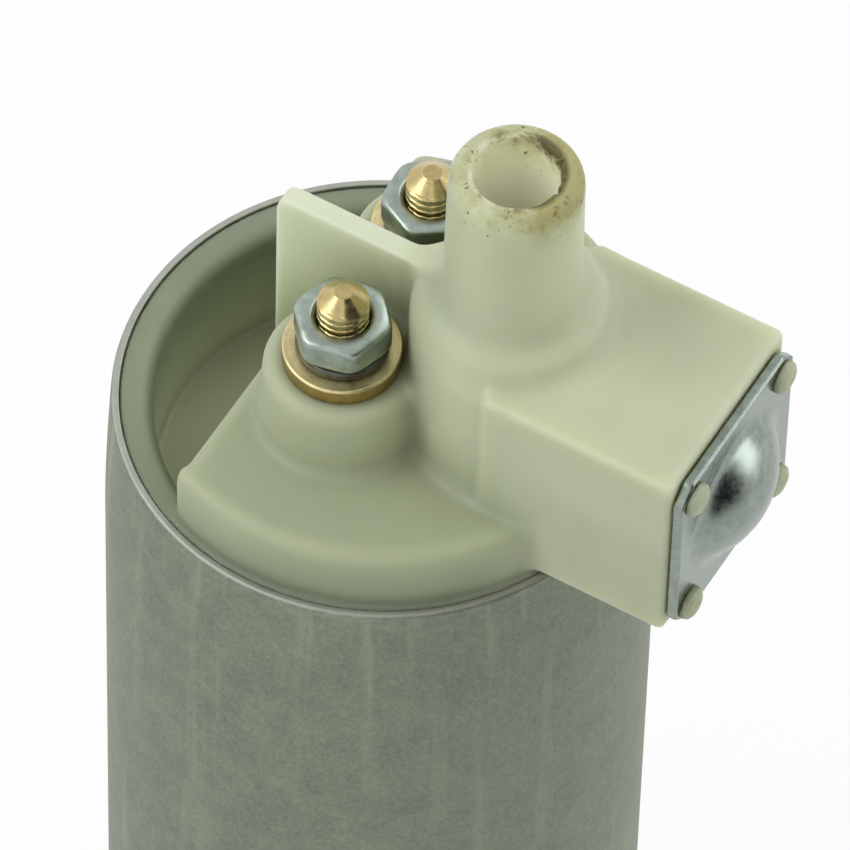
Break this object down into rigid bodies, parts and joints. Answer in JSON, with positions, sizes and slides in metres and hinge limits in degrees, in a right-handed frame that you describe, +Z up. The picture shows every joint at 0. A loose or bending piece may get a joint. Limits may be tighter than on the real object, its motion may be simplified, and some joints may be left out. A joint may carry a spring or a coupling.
{
  "type": "in-tank fuel pump",
  "caption": "Electric in-tank fuel pump: aluminium can with motor and internal-gear pump, moulded cap with studs, outlet nozzle and relief valve.",
  "frame": {"origin": "centre of the flat base, on the can's axis", "axes": "+Z up along the can towards the outlet nozzle; +X from the can's axis towards the relief valve; the negative terminal is at -Y"},
  "size_m": [0.0547, 0.043, 0.1153],
  "materials": {
    "drawn_aluminium": "matte drawn, faint streaks along the draw",
    "cast_aluminium": "as cast, matte",
    "moulded_acetal": "moulded, translucent ivory with a green tinge",
    "zinc_plated_steel": "bright zinc plating, blue passivated",
    "brass": "turned, slightly tarnished",
    "steel": "bare ground steel",
    "spring_steel": "drawn wire and strip",
    "sintered_steel": "sintered and ground",
    "sintered_bronze": "sintered, oil filled",
    "ferrite": "sintered ferrite",
    "copper": "enamelled wire and turned segments",
    "carbon": "pressed carbon",
    "dark_plastic": "moulded",
    "seal_rubber": "moulded ring"
  },
  "bodies": {
    "housing": {"casing": "drawn_aluminium", "inlet_cover": "cast_aluminium", "pump_ring": "sintered_steel", "port_plate": "sintered_steel", "lower_bearing": "sintered_bronze", "upper_bearing": "sintered_bronze", "flux_ring": "steel", "magnet_north": "ferrite", "magnet_south": "ferrite", "magnet_clip_front": "spring_steel", "magnet_clip_rear": "spring_steel", "brush_holder": "dark_plastic", "brush_spring_positive": "spring_steel", "brush_spring_negative": "spring_steel", "contact_strip_positive": "brass", "contact_strip_negative": "brass", "end_cap": "moulded_acetal", "cap_seal": "seal_rubber", "terminal_stud_positive": "brass", "terminal_stud_negative": "brass", "terminal_washer_positive": "brass", "terminal_washer_negative": "brass", "lock_washer_positive": "zinc_plated_steel", "lock_washer_negative": "zinc_plated_steel", "terminal_nut_positive": "zinc_plated_steel", "terminal_nut_negative": "zinc_plated_steel", "check_valve_seat": "brass", "check_valve_spring": "spring_steel", "relief_valve_plate": "zinc_plated_steel", "relief_valve_spring": "spring_steel"},
    "armature": {"armature_shaft": "steel", "armature_core": "steel", "armature_winding": "copper", "commutator": "copper", "thrust_washer": "dark_plastic", "inner_rotor": "sintered_steel"},
    "ring_gear": {"outer_rotor": "sintered_steel"},
    "check_ball": {"check_valve_ball": "steel"},
    "relief_poppet": {"relief_valve_poppet": "brass"},
    "positive_brush": {"brush_positive": "carbon"},
    "negative_brush": {"brush_negative": "carbon"}
  },
  "joints": [
    {"name": "armature_spin", "type": "hinge", "parent": "housing", "child": "armature", "pos_m": [0, 0, 0.0212], "axis": [0, 0, 1], "continuous": true},
    {"name": "outer_rotor_spin", "type": "hinge", "parent": "housing", "child": "ring_gear", "pos_m": [0.0012, 0, 0.0091], "axis": [0, 0, 1], "continuous": true},
    {"name": "check_valve_lift", "type": "slide", "parent": "housing", "child": "check_ball", "axis": [0, 0, 1], "range_m": [0, 0.0025], "stiffness_N_per_m": 100, "springref_m": -0.003, "deforming": ["check_valve_spring"]},
    {"name": "relief_valve_lift", "type": "slide", "parent": "housing", "child": "relief_poppet", "axis": [1, 0, 0], "range_m": [0, 0.003], "stiffness_N_per_m": 800, "springref_m": -0.006, "deforming": ["relief_valve_spring"]},
    {"name": "brush_positive_slide", "type": "slide", "parent": "housing", "child": "positive_brush", "axis": [0, 1, 0], "range_m": [0, 0.002], "stiffness_N_per_m": 100, "springref_m": -0.006, "deforming": ["brush_spring_positive"]},
    {"name": "brush_negative_slide", "type": "slide", "parent": "housing", "child": "negative_brush", "axis": [0, -1, 0], "range_m": [0, 0.002], "stiffness_N_per_m": 100, "springref_m": -0.006, "deforming": ["brush_spring_negative"]}
  ],
  "couplings": [
    {"joint": "outer_rotor_spin", "follows": "armature_spin", "ratio": 0.85714}
  ]
}
